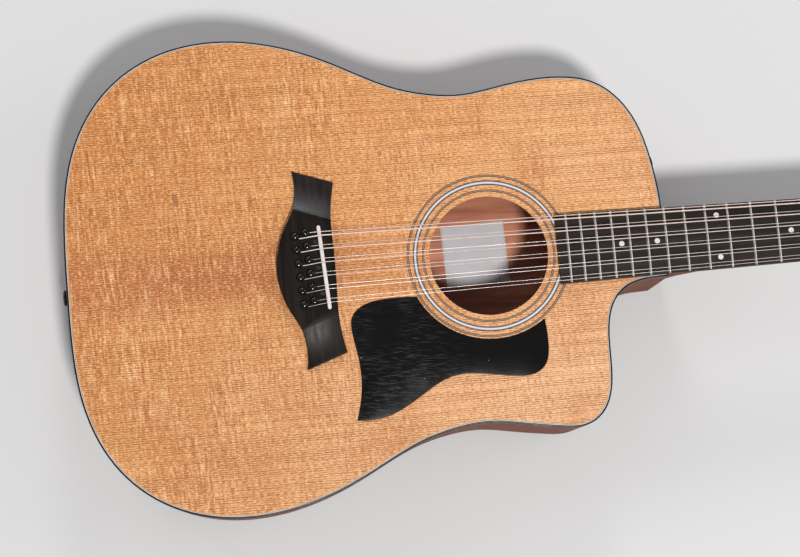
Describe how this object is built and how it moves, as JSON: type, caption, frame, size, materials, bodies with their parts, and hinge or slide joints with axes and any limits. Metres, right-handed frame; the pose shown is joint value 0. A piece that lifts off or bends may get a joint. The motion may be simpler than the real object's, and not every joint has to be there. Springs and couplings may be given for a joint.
{
  "type": "acoustic guitar",
  "caption": "Cutaway steel-string acoustic-electric guitar with paired strings, geared tuners, pickguard and an output jack in its endpin.",
  "frame": {"origin": "centre of the bounding box in plan, at the lowest point of the arched back, the guitar lying on its back", "axes": "+X along the neck from the tail to the headstock, +Y to the bass side, +Z out of the soundboard"},
  "size_m": [1.0692, 0.405, 0.1316],
  "materials": {
    "spruce": "gloss lacquered spruce, honey tan",
    "sapele": "gloss lacquered sapele, reddish brown",
    "black_plastic": "polished black",
    "purfling_lines": "light and dark lines",
    "inner_wood": "bare wood",
    "rosette_lines": "concentric dark and light rings",
    "label_paper": "plain blank paper",
    "guard_plastic": "black, lightly scratched",
    "ebony": "oiled black-brown ebony",
    "bone": "ivory coloured",
    "nickel": "worn nickel",
    "mahogany": "satin reddish brown",
    "rosewood": "dark oiled",
    "pearl": "pearl",
    "steel": "plain steel",
    "chrome": "bright chrome",
    "string_metal": "plain steel and wound bronze",
    "case_plastic": "moulded black",
    "knob_plastic": "soft black"
  },
  "bodies": {
    "guitar": {"soundboard": "spruce", "back_plate": "sapele", "sides": "sapele", "binding": "black_plastic", "purfling": "purfling_lines", "linings": "inner_wood", "neck_block": "inner_wood", "tail_block": "inner_wood", "top_braces": "inner_wood", "rosette": "rosette_lines", "soundhole_label": "label_paper", "pickguard": "guard_plastic", "bridge": "ebony", "saddle": "bone", "nut": "bone", "bridge_pins": "black_plastic", "pickup_screws": "nickel", "neck": "mahogany", "fingerboard": "rosewood", "frets": "nickel", "position_dots": "pearl", "truss_rod": "steel", "truss_rod_cover": "black_plastic", "headstock_overlay": "rosewood", "tuner_housings": "chrome", "tuner_bushings": "chrome", "strings": "string_metal", "endpin_jack": "chrome", "strap_button": "chrome", "battery_box": "case_plastic", "preamp": "case_plastic", "fasteners": "steel"},
    "key_01": {"tuner_key_01": "chrome"},
    "post_01": {"string_post_01": "chrome"},
    "key_02": {"tuner_key_02": "chrome"},
    "post_02": {"string_post_02": "chrome"},
    "key_03": {"tuner_key_03": "chrome"},
    "post_03": {"string_post_03": "chrome"},
    "key_04": {"tuner_key_04": "chrome"},
    "post_04": {"string_post_04": "chrome"},
    "key_05": {"tuner_key_05": "chrome"},
    "post_05": {"string_post_05": "chrome"},
    "key_06": {"tuner_key_06": "chrome"},
    "post_06": {"string_post_06": "chrome"},
    "key_12": {"tuner_key_12": "chrome"},
    "post_12": {"string_post_12": "chrome"},
    "key_11": {"tuner_key_11": "chrome"},
    "post_11": {"string_post_11": "chrome"},
    "key_10": {"tuner_key_10": "chrome"},
    "post_10": {"string_post_10": "chrome"},
    "key_09": {"tuner_key_09": "chrome"},
    "post_09": {"string_post_09": "chrome"},
    "key_08": {"tuner_key_08": "chrome"},
    "post_08": {"string_post_08": "chrome"},
    "key_07": {"tuner_key_07": "chrome"},
    "post_07": {"string_post_07": "chrome"},
    "volume_knob_body": {"volume_knob": "knob_plastic"},
    "treble_knob_body": {"treble_knob": "knob_plastic"},
    "bass_knob_body": {"bass_knob": "knob_plastic"},
    "drawer": {"battery_drawer": "case_plastic"}
  },
  "joints": [
    {"name": "key_01_turn", "type": "hinge", "parent": "guitar", "child": "key_01", "pos_m": [0.3636, 0.027, 0.09454], "axis": [0, 1, 0], "continuous": true},
    {"name": "post_01_turn", "type": "hinge", "parent": "guitar", "child": "post_01", "pos_m": [0.37445, 0.027, 0.11244], "axis": [0.2419, 0, 0.9703], "continuous": true},
    {"name": "key_02_turn", "type": "hinge", "parent": "guitar", "child": "key_02", "pos_m": [0.38805, 0.0275, 0.08844], "axis": [0, 1, 0], "continuous": true},
    {"name": "post_02_turn", "type": "hinge", "parent": "guitar", "child": "post_02", "pos_m": [0.39891, 0.0275, 0.10635], "axis": [0.2419, 0, 0.9703], "continuous": true},
    {"name": "key_03_turn", "type": "hinge", "parent": "guitar", "child": "key_03", "pos_m": [0.4125, 0.028, 0.08234], "axis": [0, 1, 0], "continuous": true},
    {"name": "post_03_turn", "type": "hinge", "parent": "guitar", "child": "post_03", "pos_m": [0.42336, 0.028, 0.10025], "axis": [0.2419, 0, 0.9703], "continuous": true},
    {"name": "key_04_turn", "type": "hinge", "parent": "guitar", "child": "key_04", "pos_m": [0.43695, 0.0285, 0.07625], "axis": [0, 1, 0], "continuous": true},
    {"name": "post_04_turn", "type": "hinge", "parent": "guitar", "child": "post_04", "pos_m": [0.44781, 0.0285, 0.09415], "axis": [0.2419, 0, 0.9703], "continuous": true},
    {"name": "key_05_turn", "type": "hinge", "parent": "guitar", "child": "key_05", "pos_m": [0.46141, 0.029, 0.07015], "axis": [0, 1, 0], "continuous": true},
    {"name": "post_05_turn", "type": "hinge", "parent": "guitar", "child": "post_05", "pos_m": [0.47226, 0.029, 0.08806], "axis": [0.2419, 0, 0.9703], "continuous": true},
    {"name": "key_06_turn", "type": "hinge", "parent": "guitar", "child": "key_06", "pos_m": [0.48586, 0.0295, 0.06405], "axis": [0, 1, 0], "continuous": true},
    {"name": "post_06_turn", "type": "hinge", "parent": "guitar", "child": "post_06", "pos_m": [0.49671, 0.0295, 0.08196], "axis": [0.2419, 0, 0.9703], "continuous": true},
    {"name": "key_12_turn", "type": "hinge", "parent": "guitar", "child": "key_12", "pos_m": [0.3636, -0.027, 0.09454], "axis": [0, -1, 0], "continuous": true},
    {"name": "post_12_turn", "type": "hinge", "parent": "guitar", "child": "post_12", "pos_m": [0.37445, -0.027, 0.11244], "axis": [0.2419, 0, 0.9703], "continuous": true},
    {"name": "key_11_turn", "type": "hinge", "parent": "guitar", "child": "key_11", "pos_m": [0.38805, -0.0275, 0.08844], "axis": [0, -1, 0], "continuous": true},
    {"name": "post_11_turn", "type": "hinge", "parent": "guitar", "child": "post_11", "pos_m": [0.39891, -0.0275, 0.10635], "axis": [0.2419, 0, 0.9703], "continuous": true},
    {"name": "key_10_turn", "type": "hinge", "parent": "guitar", "child": "key_10", "pos_m": [0.4125, -0.028, 0.08234], "axis": [0, -1, 0], "continuous": true},
    {"name": "post_10_turn", "type": "hinge", "parent": "guitar", "child": "post_10", "pos_m": [0.42336, -0.028, 0.10025], "axis": [0.2419, 0, 0.9703], "continuous": true},
    {"name": "key_09_turn", "type": "hinge", "parent": "guitar", "child": "key_09", "pos_m": [0.43695, -0.0285, 0.07625], "axis": [0, -1, 0], "continuous": true},
    {"name": "post_09_turn", "type": "hinge", "parent": "guitar", "child": "post_09", "pos_m": [0.44781, -0.0285, 0.09415], "axis": [0.2419, 0, 0.9703], "continuous": true},
    {"name": "key_08_turn", "type": "hinge", "parent": "guitar", "child": "key_08", "pos_m": [0.46141, -0.029, 0.07015], "axis": [0, -1, 0], "continuous": true},
    {"name": "post_08_turn", "type": "hinge", "parent": "guitar", "child": "post_08", "pos_m": [0.47226, -0.029, 0.08806], "axis": [0.2419, 0, 0.9703], "continuous": true},
    {"name": "key_07_turn", "type": "hinge", "parent": "guitar", "child": "key_07", "pos_m": [0.48586, -0.0295, 0.06405], "axis": [0, -1, 0], "continuous": true},
    {"name": "post_07_turn", "type": "hinge", "parent": "guitar", "child": "post_07", "pos_m": [0.49671, -0.0295, 0.08196], "axis": [0.2419, 0, 0.9703], "continuous": true},
    {"name": "volume_knob_turn", "type": "hinge", "parent": "guitar", "child": "volume_knob_body", "pos_m": [-0.02357, 0.073, 0.0947], "axis": [0.984, 0.1783, 0], "range_deg": [-135, 135]},
    {"name": "treble_knob_turn", "type": "hinge", "parent": "guitar", "child": "treble_knob_body", "pos_m": [-0.02357, 0.073, 0.0767], "axis": [0.984, 0.1783, 0], "range_deg": [-135, 135]},
    {"name": "bass_knob_turn", "type": "hinge", "parent": "guitar", "child": "bass_knob_body", "pos_m": [-0.02357, 0.073, 0.0587], "axis": [0.984, 0.1783, 0], "range_deg": [-135, 135]},
    {"name": "battery_drawer_slide", "type": "slide", "parent": "guitar", "child": "drawer", "axis": [-1, 0, 0], "range_m": [0, 0.052]}
  ],
  "couplings": [
    {"joint": "post_01_turn", "follows": "key_01_turn", "ratio": 0.071429},
    {"joint": "post_02_turn", "follows": "key_02_turn", "ratio": 0.071429},
    {"joint": "post_03_turn", "follows": "key_03_turn", "ratio": 0.071429},
    {"joint": "post_04_turn", "follows": "key_04_turn", "ratio": 0.071429},
    {"joint": "post_05_turn", "follows": "key_05_turn", "ratio": 0.071429},
    {"joint": "post_06_turn", "follows": "key_06_turn", "ratio": 0.071429},
    {"joint": "post_12_turn", "follows": "key_12_turn", "ratio": -0.071429},
    {"joint": "post_11_turn", "follows": "key_11_turn", "ratio": -0.071429},
    {"joint": "post_10_turn", "follows": "key_10_turn", "ratio": -0.071429},
    {"joint": "post_09_turn", "follows": "key_09_turn", "ratio": -0.071429},
    {"joint": "post_08_turn", "follows": "key_08_turn", "ratio": -0.071429},
    {"joint": "post_07_turn", "follows": "key_07_turn", "ratio": -0.071429}
  ]
}
